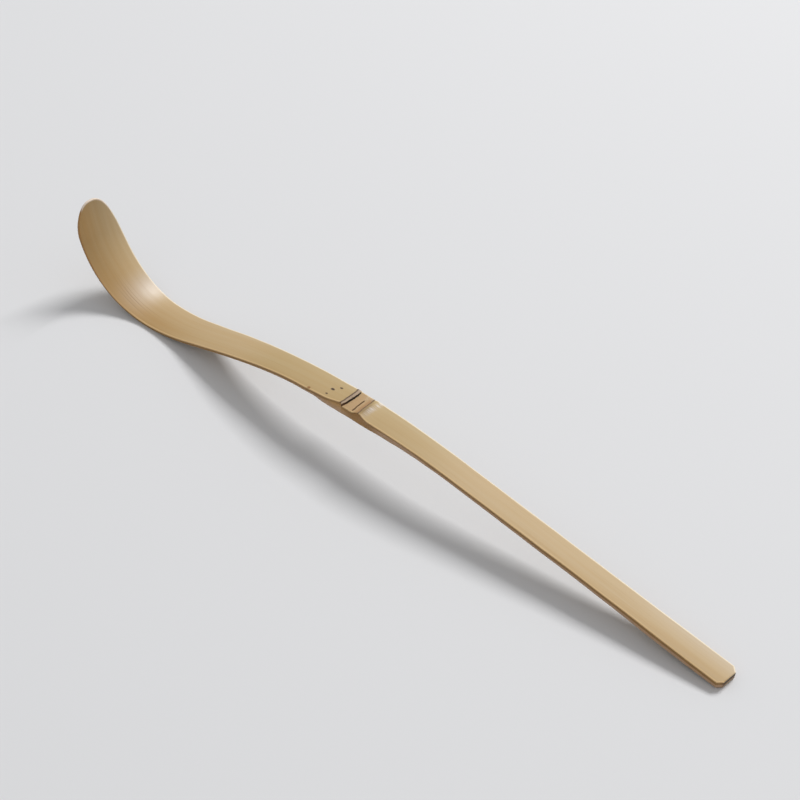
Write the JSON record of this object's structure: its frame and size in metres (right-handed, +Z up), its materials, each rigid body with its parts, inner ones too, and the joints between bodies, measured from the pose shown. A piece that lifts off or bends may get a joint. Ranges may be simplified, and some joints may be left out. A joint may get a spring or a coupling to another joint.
{
  "type": "tea scoop",
  "caption": "Slim bamboo tea scoop: a narrow strip with an upturned round-tipped blade, a carved culm node at mid-length and a straight handle, for lifting powdered tea.",
  "frame": {"origin": "on the table, under the middle of the scoop's length and width", "axes": "+X from the blade to the cut end of the handle, +Y across the strip, +Z up out of the scoop's skin side"},
  "size_m": [0.181, 0.0117, 0.0251],
  "materials": {
    "bamboo_skin": "natural culm skin, satin, with fine lengthwise grain",
    "bamboo_scar": "sheath scar of the node, matt, darker lines across the grain"
  },
  "bodies": {
    "root": {"scoop_blade": "bamboo_skin", "scoop_bend": "bamboo_skin", "upper_shaft": "bamboo_skin", "bamboo_node": "bamboo_scar", "lower_shaft": "bamboo_skin", "handle": "bamboo_skin"}
  },
  "joints": []
}
